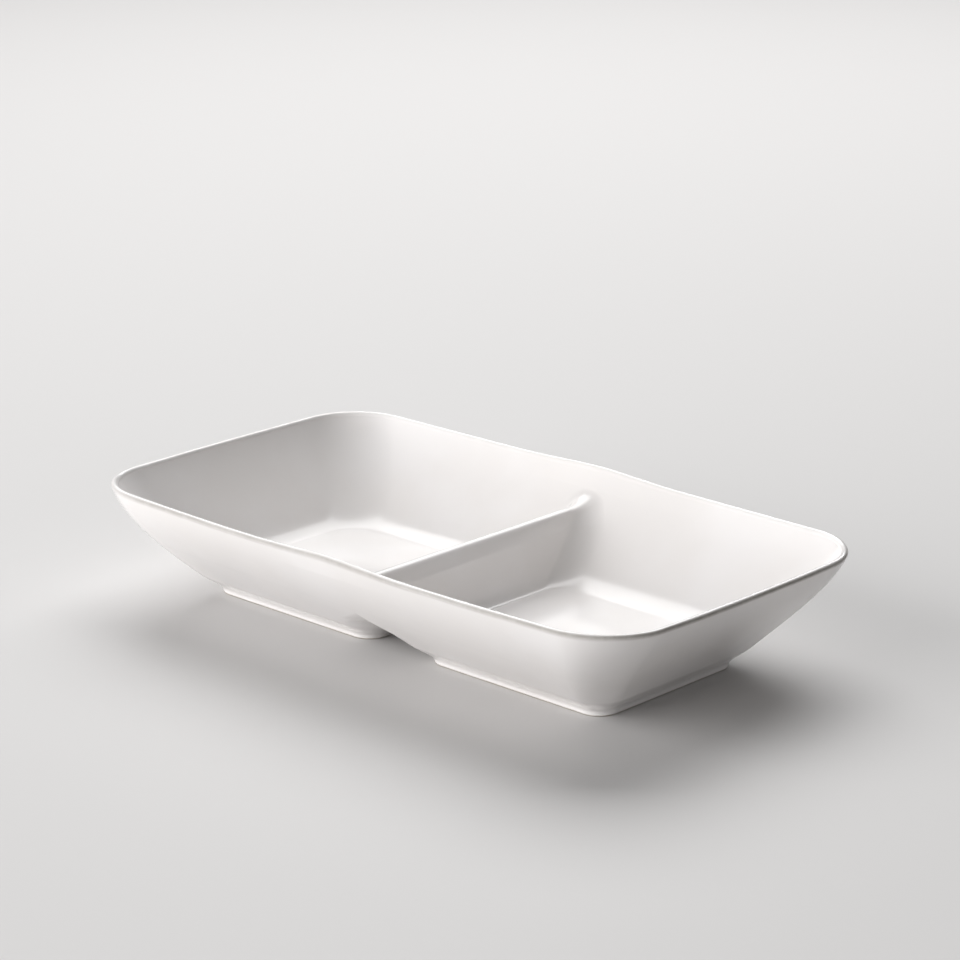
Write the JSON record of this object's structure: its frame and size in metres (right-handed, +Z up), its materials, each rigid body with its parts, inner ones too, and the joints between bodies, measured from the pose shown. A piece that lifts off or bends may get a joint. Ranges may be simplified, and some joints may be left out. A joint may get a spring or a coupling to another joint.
{
  "type": "divided serving bowl",
  "caption": "Divided rectangular serving bowl with bowed sides, a rounded lip, a low divider between its wells and separate foot rings on either side of an arched underside.",
  "frame": {"origin": "on the table under the middle of the bowl", "axes": "+X along the bowl's length, +Y across it, +Z up out of the wells"},
  "size_m": [0.34, 0.188, 0.0583],
  "materials": {
    "glaze": "warm white soft-gloss glaze",
    "bare_clay": "pale fired clay, wiped clear of glaze where it rests"
  },
  "bodies": {
    "root": {"left_basin": "glaze", "right_basin": "glaze", "upper_wall": "glaze", "divider": "glaze", "left_foot": "bare_clay", "right_foot": "bare_clay"}
  },
  "joints": []
}
